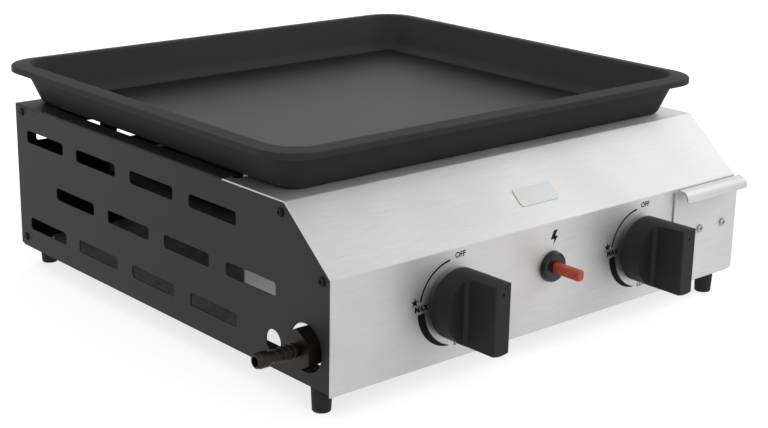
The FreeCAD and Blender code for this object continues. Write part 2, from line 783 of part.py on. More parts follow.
def button_block(y0, y1, grow):
    half_w = button_w / 2 + grow
    half_h = button_h / 2 + grow
    corners = []
    for a, b in ((-1, -1), (1, -1), (1, 1), (-1, 1)):
        corners.append(V(igniter_x + a * half_w, y0, igniter_z + b * half_h))
    return prism(corners, [button_r + grow] * 4, V(0, y1 - y0, 0))


def on_igniter(y0, y1, radius):
    return rod(V(igniter_x, y0, igniter_z), V(igniter_x, y1, igniter_z), radius)


def igniter_housing():
    body = on_igniter(sheet + 0.1, housing_back_y, housing_r).fuse(on_igniter(neck_y0, housing_r, neck_r))
    body = body.cut(on_igniter(cavity_y0, cavity_y1, cavity_r))
    return body.cut(button_block(neck_y0 - past, cavity_y0 + past, seam))


def igniter_bezel():
    outline = [(0, 0), (0, bezel_r), (bezel_t, bezel_r - 1), (bezel_t, 0)]
    ring = revolved(outline, [0, 0.3, 2.6, 0], V(igniter_x, 0, igniter_z), V(0, -1, 0))
    ring = ring.cut(on_igniter(neck_y0 - 0.2, past, neck_r + 0.1))
    return ring.cut(button_block(-bezel_t - past, past, seam))


def igniter_button():
    block = button_block(button_shoulder_y + past, button_tip_y, 0)
    tip = [e for e in block.Edges if e.BoundBox.YMax < button_tip_y + 0.1]
    block = block.makeFillet(1.8, tip)
    return block.fuse(on_igniter(button_shoulder_y, spring_front_y - 0.1, button_shoulder_r))


def igniter_spring():
    coil = on_igniter(spring_front_y, cavity_y1 - 0.1, button_shoulder_r - 1.1)
    return coil.cut(on_igniter(spring_front_y - past, cavity_y1 + past, button_shoulder_r - 2.2))


def tube_along(points, radii, radius):
    """A round wire along straight runs and tangent arcs."""
    wire = rounded_wire(points, radii, closed=False)
    ring = Part.Wire(Part.makeCircle(radius, points[0], points[1] - points[0]))
    tube = wire.makePipeShell([ring], True, False)
    share = tube.Volume / (math.pi * radius ** 2 * wire.Length)
    print("volume over section times length", round(share, 3), "radii", [round(r, 1) for r in radii])
    return tube


def igniter_lead(side, x):
    """Insulated wire from the igniter's back to an electrode, each arc as large as its runs allow."""
    start_x = igniter_x - side * 4
    end_x = x + side * electrode_dx
    route = [V(start_x, housing_back_y, igniter_z), V(start_x, 84, igniter_z),
             V(start_x - side * 22, 100, 66), V(end_x + side * 12, 103, electrode_z - 2),
             V(end_x, 112, electrode_z), V(end_x, insulator_y0, electrode_z)]
    radii = [0.0]
    for a, b, c in zip(route, route[1:], route[2:]):
        turn = (b - a).getAngle(c - b)
        radii.append(0.45 * min((b - a).Length, (c - b).Length) / math.tan(turn / 2))
    return tube_along(route, radii + [0.0], lead_r)


def insulator(x):
    bore = electrode_r + fit_clear
    outline = [(insulator_y0, bore), (insulator_y0, insulator_r),
               (insulator_y1, insulator_r), (insulator_y1, bore)]
    return revolved(outline, [0, 0.8, 1.2, 0], V(x, 0, electrode_z), V(0, 1, 0))


def electrode(x):
    tip = V(x, spark_y, burner_z + burner_r + spark_gap)
    bend = V(x, spark_y - 6, electrode_z)
    return tube_along([V(x, insulator_y0 + 0.2, electrode_z), bend, tip], [0, 2, 0], electrode_r)


def electrode_bracket(x):
    plate = box(x - 8, x + 8, baffle_front - sheet, baffle_front, electrode_z - 8, electrode_z + 16)
    return plate.cut(hole_y(x, baffle_front - sheet, electrode_z, insulator_r + 0.1))


def badge_plate():
    middle = V(badge_x, 0, face_h) + slope_up * badge_up
    corners = []
    for a, b in ((-1, -1), (1, -1), (1, 1), (-1, 1)):
        corners.append(middle + V(a * badge_w / 2, 0, 0) + slope_up * (b * badge_h / 2))
    return prism(corners, [badge_r] * 4, slope_out * badge_t)


def drawer_runner(wall_x, shelf_x, y0):
    """Angle that carries one edge of the tray: an upright web and a shelf under the tray."""
    low = tray_z0 - tray_room
    side = 1 if shelf_x > wall_x else -1
    web_x = sorted((wall_x, wall_x + side * sheet))
    web = box(*web_x, y0, baffle_front, low, tray_z0 + runner_web)
    return web.fuse(box(*sorted((wall_x, shelf_x)), y0, baffle_front, low, tray_z0 - seam))


def drawer_front():
    """Plate over the front face, with its top edge folded forward and rolled down as a finger lip."""
    y = -drawer_gap
    low_top = drawer_z1 - 3 * (lip_r + sheet)
    ear_top = drawer_z1 - past
    plate = [V(drawer_x0, y, drawer_z0), V(drawer_x1, y, drawer_z0), V(drawer_x1, y, low_top),
             V(lip_x0, y, low_top), V(lip_x0, y, ear_top), V(drawer_x0, y, ear_top)]
    front = prism(plate, [1.5, drawer_corner_r, 1, 0, 1, 1], V(0, -sheet, 0))
    lean = math.radians(lip_lean)
    end_lean = math.radians(lip_end_lean)
    bend = lip_r + sheet
    peak = drawer_z1 + bend * (1 / math.tan(lean / 2) - 1)
    knee_y, knee_z = y - lip_out, peak - lip_out / math.tan(lean)
    tip = (knee_y - lip_end * math.sin(end_lean), knee_z - lip_end * math.cos(end_lean))
    line = [(y, low_top - past), (y, peak), (knee_y, knee_z), tip]
    outer = [V(lip_x0, a, b) for a, b in line]
    inner = [V(lip_x0, a, b) for a, b in offset_line(line, -sheet)]
    radii = [0, bend, lip_knee_r + sheet, 0, 0, lip_knee_r, lip_r, 0]
    roll = prism(outer + inner[::-1], radii, V(lip_x1 - lip_x0, 0, 0))
    ends = [e for e in roll.Edges if e.Length < sheet + past and e.BoundBox.YMin < knee_y]
    roll = roll.makeFillet(lip_corner_r, ends)
    front = front.fuse(roll)
    for x in drawer_screw_x:
        front = front.cut(hole_y(x, y - sheet, drawer_screw_z, screw_hole_r))
    return front.removeSplitter()


def grease_tray():
    y = -drawer_gap
    tray = rounded_box(tray_x0, tray_x1, y, tray_y1, tray_z0, tray_z1, tray_r)
    tray = tray.cut(rounded_box(tray_x0 + tray_t, tray_x1 - tray_t, y + tray_t, tray_y1 - tray_t,
                                tray_z0 + tray_t, tray_z1 + past, tray_r - tray_t))
    for x in drawer_screw_x:
        tray = tray.cut(hole_y(x, y, drawer_screw_z, screw_hole_r))
    return tray


def drawer_screws():
    pieces = []
    for x in drawer_screw_x:
        pieces.append(pan_screw(V(x, -drawer_gap - sheet, drawer_screw_z), V(0, -1, 0), drawer_screw_len))
        seat = V(x, tray_t - drawer_gap, drawer_screw_z)
        pieces.append(hex_nut(seat, V(0, 1, 0), nut_across, nut_h, screw_r + fit_clear))
    return Part.makeCompound(pieces)


save("front_panel", front_panel())
left_feet = [foot_at[name] for name in ("front_left", "back_left")]
right_feet = [(casing_w - foot_at[name][0], foot_at[name][1]) for name in ("front_right", "back_right")]
save("left_side_panel", left_side_panel(True, left_feet))
save("right_side_panel", mirrored(left_side_panel(False, right_feet)))
save("back_panel", back_panel())
save("base_plate", base_plate())
save("panel_screws", panel_screws())
for name in foot_at:
    save(name + "_foot", foot(name))
save("foot_screws", foot_screws())
save("griddle_plate", griddle_plate())
save("griddle_rim", griddle_rim())
save("gas_manifold", gas_manifold())
save("manifold_bracket", manifold_bracket())
save("hose_nozzle", hose_nozzle())
save("inlet_nut", inlet_nut())
for name, side, x in (("left", 1, knob_x[0]), ("right", -1, knob_x[1])):
    spark_x = x + side * electrode_dx
    save(name + "_valve_body", valve_body(x))
    save(name + "_valve_plug", valve_plug(x))
    save(name + "_spindle", spindle(x))
    save(name + "_spindle_spring", spindle_spring(x))
    save(name + "_knob", knob(x))
    save(name + "_jet", jet(x))
    save(name + "_burner", burner(x))
    save(name + "_air_shutter", air_shutter(x))
    save(name + "_burner_bracket", burner_bracket(x))
    save(name + "_igniter_lead", igniter_lead(side, x))
    save(name + "_insulator", insulator(spark_x))
    save(name + "_electrode", electrode(spark_x))
    save(name + "_electrode_bracket", electrode_bracket(spark_x))
save("burner_screws", burner_screws())
save("igniter_housing", igniter_housing())
save("igniter_bezel", igniter_bezel())
save("igniter_button", igniter_button())
save("igniter_spring", igniter_spring())
save("badge_plate", badge_plate())
save("left_drawer_runner", drawer_runner(left_runner_x, left_runner_x + runner_shelf, sheet))
save("right_drawer_runner", drawer_runner(wall_in, wall_in - runner_shelf - 3, 2 * sheet))
save("drawer_front", drawer_front())
save("grease_tray", grease_tray())
save("drawer_screws", drawer_screws())
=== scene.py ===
import json
import math

import bpy
import numpy as np
from mathutils import Matrix, Vector


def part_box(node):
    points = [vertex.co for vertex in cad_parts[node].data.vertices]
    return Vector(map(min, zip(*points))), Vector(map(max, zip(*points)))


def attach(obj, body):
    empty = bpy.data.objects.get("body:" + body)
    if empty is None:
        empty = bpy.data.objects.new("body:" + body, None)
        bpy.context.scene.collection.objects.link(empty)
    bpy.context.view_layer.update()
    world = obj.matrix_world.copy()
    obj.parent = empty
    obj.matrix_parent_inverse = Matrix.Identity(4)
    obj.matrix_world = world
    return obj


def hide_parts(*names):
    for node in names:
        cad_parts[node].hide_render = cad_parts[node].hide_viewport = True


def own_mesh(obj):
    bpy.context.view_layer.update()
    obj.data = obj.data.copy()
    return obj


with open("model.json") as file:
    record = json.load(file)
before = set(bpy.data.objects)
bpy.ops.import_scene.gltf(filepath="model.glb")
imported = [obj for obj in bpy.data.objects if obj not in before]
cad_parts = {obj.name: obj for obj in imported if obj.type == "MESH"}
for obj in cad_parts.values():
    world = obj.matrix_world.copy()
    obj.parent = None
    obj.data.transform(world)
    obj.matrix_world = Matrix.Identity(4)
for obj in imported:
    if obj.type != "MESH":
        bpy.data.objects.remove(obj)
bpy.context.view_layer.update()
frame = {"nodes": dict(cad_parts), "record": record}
mm = 0.001
# the casing's lower left front corner: printed marks, spark leads and camera are placed from it
corner = np.array([*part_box("front_panel")[0][:2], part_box("left_side_panel")[0][2]])


def onCasing(x, y, z):
    return tuple(corner + np.array([x, y, z]) * mm)  # millimetres from that corner


def middleOf(node):
    low, high = (np.array(end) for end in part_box(node))
    return (low + high) / 2


def linear(hexColour):
    # sRGB hex to linear: a low part divided by 12.92, the rest a power of 2.4
    part = np.array([int(hexColour[i:i + 2], 16) for i in (1, 3, 5)]) / 255
    flat = np.where(part <= 0.04045, part / 12.92, ((part + 0.055) / 1.055) ** 2.4)
    return (*flat.tolist(), 1.0)


def addNode(tree, kind, inputs=None, **settings):
    made = tree.nodes.new(kind)
    for name, value in settings.items():
        setattr(made, name, value)
    for socket, value in (inputs or {}).items():
        if isinstance(value, bpy.types.NodeSocket):
            tree.links.new(value, made.inputs[socket])
        else:
            made.inputs[socket].default_value = value
    return made


def startFinish(name):
    finish = bpy.data.materials.new(name)
    finish.use_nodes = True
    tree = finish.node_tree
    tree.nodes.clear()
    return finish, tree, addNode(tree, "ShaderNodeTexCoord").outputs["Object"]


def endFinish(tree, shaderInputs):
    shader = addNode(tree, "ShaderNodeBsdfPrincipled", shaderInputs)
    addNode(tree, "ShaderNodeOutputMaterial", {"Surface": shader.outputs[0]})


# strokes, patches and depth in millimetres, the strokes' slant in radians
brushedSheet = {"strokeLength": 26.0, "strokeWidth": 0.9, "slant": 0.006, "patch": 90.0, "patchShare": 0.18,
                "low": "#B6B5B5", "high": "#E6E5E5", "rough": (0.48, 0.62), "stretch": 0.65, "depth": 0.012}


def stainlessBrushedAcross(s):
    # Stainless sheet rubbed with an abrasive belt across its width: fine strokes along X that pull
    # every reflection out up and down. The real strokes are about 0.1 mm wide, drawn 0.9 mm to show.
    finish, tree, place = startFinish("stainlessBrushed")
    along, across = 1 / (s["strokeLength"] * mm), 1 / (s["strokeWidth"] * mm)
    grain = addNode(tree, "ShaderNodeMapping", {"Vector": place, "Scale": (along, across, across),
                                                "Rotation": (0, s["slant"], s["slant"])})
    strokes = addNode(tree, "ShaderNodeTexNoise", {"Vector": grain.outputs[0], "Scale": 1.0, "Detail": 3.0})
    patches = addNode(tree, "ShaderNodeTexNoise", {"Vector": place, "Scale": 1 / (s["patch"] * mm),
                                                   "Detail": 1.0})
    both = addNode(tree, "ShaderNodeMath", {0: strokes.outputs["Fac"], 1: patches.outputs["Fac"],
                                            2: s["patchShare"]}, operation="MULTIPLY_ADD")
    colour = addNode(tree, "ShaderNodeMix", {"Factor": both.outputs[0], "A": linear(s["low"]),
                                             "B": linear(s["high"])}, data_type="RGBA")
    rough = addNode(tree, "ShaderNodeMapRange", {"Value": strokes.outputs["Fac"], "To Min": s["rough"][0],
                                                 "To Max": s["rough"][1]})
    relief = addNode(tree, "ShaderNodeBump", {"Height": strokes.outputs["Fac"], "Distance": s["depth"] * mm})
    tangent = addNode(tree, "ShaderNodeTangent", direction_type="RADIAL", axis="X")
    endFinish(tree, {"Base Color": colour.outputs["Result"], "Metallic": 1.0,
                     "Roughness": rough.outputs["Result"], "Anisotropic": s["stretch"],
                     "Tangent": tangent.outputs[0], "Normal": relief.outputs["Normal"]})
    return finish


# grain, drift and depth in millimetres
coats = {
    # Polyester powder baked on steel sheet: satin black with a faint orange peel about 0.9 mm across.
    "powderCoatBlack": {"grain": 0.9, "drift": 60.0, "low": "#1B1A1B", "high": "#222122",
                        "rough": (0.46, 0.60), "depth": 0.02, "ior": 1.36, "metal": 0.0},
    # Fluoropolymer sprayed on cast aluminium and cured: soft dark grey, its sheen mirrors the walls dimly.
    "nonStickSprayed": {"grain": 0.8, "drift": 110.0, "low": "#121112", "high": "#181718",
                        "rough": (0.30, 0.40), "depth": 0.01, "ior": 1.22, "metal": 0.0},
    # The same coat on the walls and lip in a lighter colour and a duller shine than the floor: a copy toned
    # for how light falls there, its lighter colour a painted reflection of the bright steel below.
    "nonStickRimPaintedLight": {"grain": 0.8, "drift": 110.0, "low": "#2B2A2B", "high": "#323132",
                         "rough": (0.60, 0.72), "depth": 0.02, "ior": 1.26, "metal": 0.0},
    # Phenolic moulded in a spark-eroded tool: near black, dry to look at, an even fine grain.
    "phenolicSparkTexture": {"grain": 0.5, "drift": 9.0, "low": "#131314", "high": "#1A1A1B",
                             "rough": (0.54, 0.68), "depth": 0.025, "ior": 1.36, "metal": 0.0},
    # Nylon from a polished tool: black with a soft shine along its edges.
    "nylonBlackSemiGloss": {"grain": 0.7, "drift": 9.0, "low": "#0F0F11", "high": "#151517",
                            "rough": (0.24, 0.34), "depth": 0.008, "ior": 1.4, "metal": 0.0},
    # Acrylonitrile plastic moulded in colour: an even orange-red with a low gloss.
    "absOrangeRed": {"grain": 0.9, "drift": 9.0, "low": "#A83C24", "high": "#B8452B",
                     "rough": (0.34, 0.46), "depth": 0.008, "ior": 1.5, "metal": 0.0},
    # Rubber pressed in a blasted mould: dull black, hardly a highlight.
    "rubberMoulded": {"grain": 0.6, "drift": 9.0, "low": "#131314", "high": "#1A1A1B",
                      "rough": (0.62, 0.80), "depth": 0.02, "ior": 1.4, "metal": 0.0},
    # Silicone drawn over a core: brick red, waxy, no hard shine.
    "siliconeLead": {"grain": 0.8, "drift": 9.0, "low": "#9A2F24", "high": "#A83A2C",
                     "rough": (0.45, 0.60), "depth": 0.008, "ior": 1.41, "metal": 0.0},
    # Alumina pressed, fired and glazed: warm white with a wet shine.
    "aluminaGlazed": {"grain": 0.9, "drift": 9.0, "low": "#DAD6CC", "high": "#E6E3DB",
                      "rough": (0.12, 0.22), "depth": 0.004, "ior": 1.6, "metal": 0.0},
    # Ink pushed through a screen and baked: flat black that shows no steel through it.
    "screenInkBlack": {"grain": 0.5, "drift": 3.0, "low": "#050506", "high": "#0C0C0D",
                       "rough": (0.50, 0.66), "depth": 0.004, "ior": 1.2, "metal": 0.0},
    # Brass turned on a lathe and blackened: a dark fitting with a dim metal edge.
    "brassBlackened": {"grain": 0.6, "drift": 6.0, "low": "#2B2927", "high": "#3A3734",
                       "rough": (0.34, 0.50), "depth": 0.008, "ior": 1.5, "metal": 1.0},
    # Steel screws in a hot black oxide bath: dark blue-grey, a little oily.
    "steelBlackOxide": {"grain": 0.5, "drift": 4.0, "low": "#1B1B1D", "high": "#29292B",
                        "rough": (0.30, 0.48), "depth": 0.006, "ior": 1.5, "metal": 1.0},
    # Steel plated with bright zinc: silver with small soft marks.
    "steelZincPlated": {"grain": 0.8, "drift": 4.0, "low": "#94969A", "high": "#B6B8BA",
                        "rough": (0.20, 0.34), "depth": 0.005, "ior": 1.5, "metal": 1.0},
    # Brass as turned: yellow metal whose tool marks break up the shine.
    "brassTurned": {"grain": 0.9, "drift": 6.0, "low": "#A9823A", "high": "#C49B52",
                    "rough": (0.24, 0.38), "depth": 0.006, "ior": 1.5, "metal": 1.0},
    # Spring wire drawn through a die: grey metal with faint scratches.
    "springWireDrawn": {"grain": 0.6, "drift": 4.0, "low": "#77777A", "high": "#98989A",
                        "rough": (0.28, 0.42), "depth": 0.005, "ior": 1.5, "metal": 1.0},
    # Steel tube that has been hot: a dark, dry scale that drifts from grey to brownish grey along it.
    "steelHeatScaled": {"grain": 0.8, "drift": 45.0, "low": "#3B3A39", "high": "#4A4643",
                        "rough": (0.48, 0.64), "depth": 0.01, "ior": 1.5, "metal": 1.0},
}


def grainedFinish(name, s):
    # A fine grain sets roughness and relief, a slower drift moves the colour from its low to its high hex.
    # The real grain of these plastics and metals is finer, drawn 0.5 to 0.9 mm wide to show.
    finish, tree, place = startFinish(name)
    grain = addNode(tree, "ShaderNodeTexNoise", {"Vector": place, "Scale": 1 / (s["grain"] * mm),
                                                 "Detail": 2.0})
    drift = addNode(tree, "ShaderNodeTexNoise", {"Vector": place, "Scale": 1 / (s["drift"] * mm),
                                                 "Detail": 2.0})
    colour = addNode(tree, "ShaderNodeMix", {"Factor": drift.outputs["Fac"], "A": linear(s["low"]),
                                             "B": linear(s["high"])}, data_type="RGBA")
    rough = addNode(tree, "ShaderNodeMapRange", {"Value": grain.outputs["Fac"], "To Min": s["rough"][0],
                                                 "To Max": s["rough"][1]})
    relief = addNode(tree, "ShaderNodeBump", {"Height": grain.outputs["Fac"], "Distance": s["depth"] * mm})
    endFinish(tree, {"Base Color": colour.outputs["Result"], "Metallic": s["metal"],
                     "Roughness": rough.outputs["Result"], "IOR": s["ior"],
                     "Normal": relief.outputs["Normal"]})
    return finish


galvanisedSheet = {"spangle": 7.0, "low": "#B6B9BB", "high": "#CACDCF", "rough": (0.62, 0.76), "metal": 0.15}


def galvanisedSpangle(s):
    # Hot-dip zinc on steel, annealed until it is matt: pale grey that scatters light more than it mirrors,
    # in faint patches about 7 mm across, each a little lighter or darker.
    finish, tree, place = startFinish("zincSpangle")
    cells = addNode(tree, "ShaderNodeTexVoronoi", {"Vector": place, "Scale": 1 / (s["spangle"] * mm)})
    tone = addNode(tree, "ShaderNodeSeparateColor", {"Color": cells.outputs["Color"]})
    colour = addNode(tree, "ShaderNodeMix", {"Factor": tone.outputs[0], "A": linear(s["low"]),
                                             "B": linear(s["high"])}, data_type="RGBA")
    rough = addNode(tree, "ShaderNodeMapRange", {"Value": tone.outputs[1], "To Min": s["rough"][0],
                                                 "To Max": s["rough"][1]})
    endFinish(tree, {"Base Color": colour.outputs["Result"], "Metallic": s["metal"],
                     "Roughness": rough.outputs["Result"]})
    return finish


badgeFoil = {"low": "#BBBAB3", "high": "#AFBAC0", "span": 45.5, "stroke": 0.5, "rough": (0.28, 0.36),
             "metal": 0.35, "lacquer": 0.2, "lacquerRough": 0.15}


def lacqueredFoil(s):
    # Thin aluminium foil plate with a clear lacquer: pale silver that turns a little cool to one side.
    finish, tree, place = startFinish("aluminiumFoilLacquered")
    middle, reach = middleOf("badge_plate"), s["span"] * mm / 2
    split = addNode(tree, "ShaderNodeSeparateXYZ", {"Vector": place})
    side = addNode(tree, "ShaderNodeMapRange", {"Value": split.outputs["X"], "From Min": middle[0] - reach,
                                                "From Max": middle[0] + reach})
    colour = addNode(tree, "ShaderNodeMix", {"Factor": side.outputs["Result"], "A": linear(s["low"]),
                                             "B": linear(s["high"])}, data_type="RGBA")
    fine = addNode(tree, "ShaderNodeTexNoise", {"Vector": place, "Scale": 1 / (s["stroke"] * mm),
                                                "Detail": 1.0})
    rough = addNode(tree, "ShaderNodeMapRange", {"Value": fine.outputs["Fac"], "To Min": s["rough"][0],
                                                 "To Max": s["rough"][1]})
    endFinish(tree, {"Base Color": colour.outputs["Result"], "Metallic": s["metal"],
                     "Roughness": rough.outputs["Result"], "Coat Weight": s["lacquer"],
                     "Coat Roughness": s["lacquerRough"]})
    return finish


coatOf = {"black_coat": "powderCoatBlack", "nonstick": "nonStickSprayed",
          "knob_plastic": "phenolicSparkTexture", "button_red": "absOrangeRed",
          "bezel_black": "nylonBlackSemiGloss", "black_fitting": "brassBlackened",
          "rubber_black": "rubberMoulded", "screw_black": "steelBlackOxide",
          "screw_zinc": "steelZincPlated", "brass": "brassTurned", "burner_steel": "steelHeatScaled",
          "spring_steel": "springWireDrawn", "ceramic_white": "aluminaGlazed",
          "lead_silicone": "siliconeLead"}
finishOf = {slot: grainedFinish(name, coats[name]) for slot, name in coatOf.items()}
finishOf["stainless"] = stainlessBrushedAcross(brushedSheet)
finishOf["galvanised"] = galvanisedSpangle(galvanisedSheet)
finishOf["badge_silver"] = lacqueredFoil(badgeFoil)
inkFinish = grainedFinish("screenInkBlack", coats["screenInkBlack"])
# the rim and walls take the lighter, duller copy of the coat, whose colour holds a painted reflection of the
# steel below
rimFinish = grainedFinish("nonStickRimPaintedLight", coats["nonStickRimPaintedLight"])
for subpart in frame["record"]["subparts"]:
    shown = frame["nodes"][subpart["node"]]
    shown.data.materials.clear()
    shown.data.materials.append(finishOf[subpart["material_slot"]])
frame["nodes"]["griddle_rim"].data.materials[0] = rimFinish
print("finishes on", len(frame["nodes"]), "nodes")


def placePiece(name, mesh, finish, body):
    piece = bpy.data.objects.new(name, mesh)
    bpy.context.scene.collection.objects.link(piece)
    mesh.materials.append(finish)
    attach(piece, body)
    return piece


def addPiece(name, points, faces, finish, body):
    mesh = bpy.data.meshes.new(name)
    mesh.from_pydata(points.tolist(), [], faces)
    mesh.validate()
    return placePiece(name, mesh, finish, body)


ink = {"thick": 0.06, "gap": 0.006}  # millimetres, the gap between the ink's back and the steel


def printedSheet(outline):
    # A flat outline in (x, z), wound anticlockwise from the front, given the ink's thickness: a front ring
    # and a back ring of points, a face on each, and one side face for each edge.
    count = len(outline)
    front = np.column_stack([outline[:, 0], np.full(count, -ink["thick"]), outline[:, 1]])
    back = front + [0, ink["thick"] - ink["gap"], 0]
    points = np.vstack([front, back]) * mm + corner
    near = np.arange(count)
    after = np.roll(near, -1)
    sides = np.column_stack([near, near + count, after + count, after]).tolist()
    return points, [near.tolist(), (near + count)[::-1].tolist()] + sides


# degrees from the right, and each edge's radius at the band's start and end
dialBands = {
    "DialLine": {"start": 96.0, "end": 169.5, "inner": (33.7, 33.7), "outer": (35.3, 35.3), "power": 1.0},
    "DialWedge": {"start": 186.0, "end": 266.0, "inner": (29.4, 36.3), "outer": (36.9, 36.9), "power": 1.7},
}
bandSteps = 48


def printedBand(centre, s):
    # A band of a dial: the angle runs evenly from start to end, and each edge's radius goes from its first
    # value to its last with a power of the way along.
    share = np.linspace(0, 1, bandSteps)
    angle = np.radians(np.linspace(s["start"], s["end"], bandSteps))
    spokes = np.column_stack([np.cos(angle), np.sin(angle)])
    inner, outer = (first + (last - first) * share ** s["power"] for first, last in (s["inner"], s["outer"]))
    return printedSheet(np.vstack([spokes * outer[:, None], (spokes * inner[:, None])[::-1]]) + centre)


dialStar = {"tips": 5, "outer": 4.3, "inner": 1.7, "place": (-39.8, 7.1)}  # place from the dial's centre


def printedStar(centre, s):
    # Corners at even angles from the top, by turns at the outer and the inner radius.
    spot = np.arange(2 * s["tips"])
    angle = np.pi / 2 + np.pi / s["tips"] * spot
    reach = np.where(spot % 2 == 0, s["outer"], s["inner"])
    spokes = np.column_stack([np.cos(angle), np.sin(angle)])
    return printedSheet(spokes * reach[:, None] + centre + s["place"])


# left is from the dial's centre, low from the casing's lower edge, bold from the letter's own size
dialWords = {
    "DialOff": {"word": "OFF", "height": 4.9, "left": 1.6, "low": 82.4, "bold": 0.03},
    "DialMax": {"word": "MAX", "height": 5.0, "left": -39.8, "low": 46.2, "bold": 0.045},
    "DialLow": {"word": "LOW", "height": 4.4, "left": 3.2, "low": 9.6, "bold": 0.03},
}


def printWord(name, centre, s, body):
    # A word in the plain built-in letters, made a mesh, scaled to its height and stood on the face.
    curve = bpy.data.curves.new(name, "FONT")
    curve.body = s["word"]
    curve.size = 1.0
    curve.offset = s["bold"]
    curve.extrude = 0.5  # to both sides, so depth runs from -0.5 at the back to 0.5 at the front
    curve.resolution_u = 4
    letters = bpy.data.objects.new(name + "Letters", curve)
    bpy.context.scene.collection.objects.link(letters)
    bpy.context.view_layer.update()
    mesh = bpy.data.meshes.new_from_object(letters)
    bpy.data.objects.remove(letters)
    flat = np.empty(len(mesh.vertices) * 3)
    mesh.vertices.foreach_get("co", flat)
    flat = flat.reshape(-1, 3)
    flat[:, :2] -= flat[:, :2].min(axis=0)
    size = s["height"] / flat[:, 1].max()
    depth = -ink["gap"] - (ink["thick"] - ink["gap"]) * (flat[:, 2] + curve.extrude)
    stood = np.column_stack([centre[0] + s["left"] + flat[:, 0] * size, depth, s["low"] + flat[:, 1] * size])
    mesh.vertices.foreach_set("co", (stood * mm + corner).ravel())
    mesh.update()
    return placePiece(name, mesh, inkFinish, body)


for side in ("left", "right"):
    centre = (middleOf(side + "_spindle") - corner)[[0, 2]] / mm
    for name, s in dialBands.items():
        addPiece(side + name, *printedBand(centre, s), inkFinish, "casing")
    addPiece(side + "DialStar", *printedStar(centre, dialStar), inkFinish, "casing")
    for name, s in dialWords.items():
        printWord(side + name, centre, s, "casing")
sparkSign = {"outline": [(241.9, 83.9), (236.9, 83.2), (233.9, 75.9), (238.3, 75.9), (236.9, 70.6),
                         (242.6, 78.3), (239.0, 78.3)]}
addPiece("sparkSign", *printedSheet(np.array(sparkSign["outline"])), inkFinish, "casing")
print("printed marks on the face")


# route points in millimetres: aside from the lead's own end, plus towards the other lead, then back and up
sparkLead = {"thick": 3.0, "apart": 4.0,
             "fromIgniter": ((0, 62.0, 52.5), (0, 84.0, 52.5), (-22.0, 100.0, 66.0)),
             "toElectrode": ((12.0, 103.0, 84.0), (0, 112.0, 86.0), (0, 122.0, 86.0))}


def ignitionLead(side, way, s):
    # A silicone lead from the igniter's back to an electrode: a smooth spline held by its route's points.
    startX = (middleOf("igniter_housing") - corner)[0] / mm - way * s["apart"]
    endX = (middleOf(side + "_insulator") - corner)[0] / mm
    route = [(startX + way * aside, back, up) for aside, back, up in s["fromIgniter"]]
    route += [(endX + way * aside, back, up) for aside, back, up in s["toElectrode"]]
    line = bpy.data.curves.new(side + "SparkLead", "CURVE")
    line.dimensions = "3D"
    line.bevel_depth = s["thick"] / 2 * mm
    line.bevel_resolution = 4
    line.use_fill_caps = True
    spline = line.splines.new("NURBS")
    spline.points.add(len(route) - 1)
    spline.points.foreach_set("co", np.array([(*onCasing(*p), 1.0) for p in route]).ravel())
    spline.order_u = 3
    spline.use_endpoint_u = True
    spline.resolution_u = 8
    line.materials.append(finishOf["lead_silicone"])
    lead = bpy.data.objects.new(side + "SparkLead", line)
    bpy.context.scene.collection.objects.link(lead)
    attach(lead, "casing")
    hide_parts(side + "_igniter_lead")
    bare = line.copy()  # the same line without its thickness, made a mesh whose points are read
    bare.bevel_depth = 0
    bareLine = bpy.data.objects.new("bareLine", bare)
    bpy.context.scene.collection.objects.link(bareLine)
    bpy.context.view_layer.update()
    wire = bpy.data.meshes.new_from_object(bareLine)
    spots = np.empty(len(wire.vertices) * 3)
    wire.vertices.foreach_get("co", spots)
    bpy.data.objects.remove(bareLine)


ignitionLead("left", 1, sparkLead)
ignitionLead("right", -1, sparkLead)


# wire in millimetres; the held end is 0 for the front and 1 for the back
springs = {
    "leftSpindleCoil": {"node": "left_spindle_spring", "joint": "left_knob_push", "body": "left_plug",
                        "turns": 2, "wire": 1.0, "heldEnd": 1},
    "rightSpindleCoil": {"node": "right_spindle_spring", "joint": "right_knob_push", "body": "right_plug",
                         "turns": 2, "wire": 1.0, "heldEnd": 1},
    "igniterCoil": {"node": "igniter_spring", "joint": "igniter_press", "body": "igniter_push",
                    "turns": 9, "wire": 1.1, "heldEnd": 0},
}
stepsPerTurn = 24
wireSides = 10


def woundSpring(name, s):
    # A wire wound along Y: while the angle runs through all the turns, the wire goes from one end of the room
    # for it to the other, and a small circle is drawn round it in the plane of the radius and Y.
    low, high = (np.array(end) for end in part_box(s["node"]))
    middle = (low + high) / 2
    width, length = (high - low)[:2]
    wire = s["wire"] / 2 * mm
    turn = np.linspace(0, 2 * np.pi * s["turns"], stepsPerTurn * s["turns"] + 1)[:, None]
    ring = np.linspace(0, 2 * np.pi, wireSides, endpoint=False)[None, :]
    reach = width / 2 - wire + wire * np.cos(ring)
    along = low[1] + wire + (length - 2 * wire) * turn / turn[-1] + wire * np.sin(ring)
    points = np.stack([middle[0] + reach * np.cos(turn), along, middle[2] + reach * np.sin(turn)], axis=-1)
    spot = np.arange(turn.size * ring.size).reshape(turn.size, ring.size)
    after = np.roll(spot, -1, axis=1)
    sides = np.stack([spot[:-1], after[:-1], after[1:], spot[1:]], axis=-1).reshape(-1, 4).tolist()
    faces = sides + [spot[0, ::-1].tolist(), spot[-1].tolist()]
    coil = addPiece(name, points.reshape(-1, 3), faces, finishOf["spring_steel"], s["body"])
    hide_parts(s["node"])
    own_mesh(coil)


for name, s in springs.items():
    woundSpring(name, s)
print("springs wound as coils")


studio = {"paperHalf": 6.0, "paper": 0.5, "paperGlow": 0.72, "paperBounce": 0.7, "sky": 0.78}


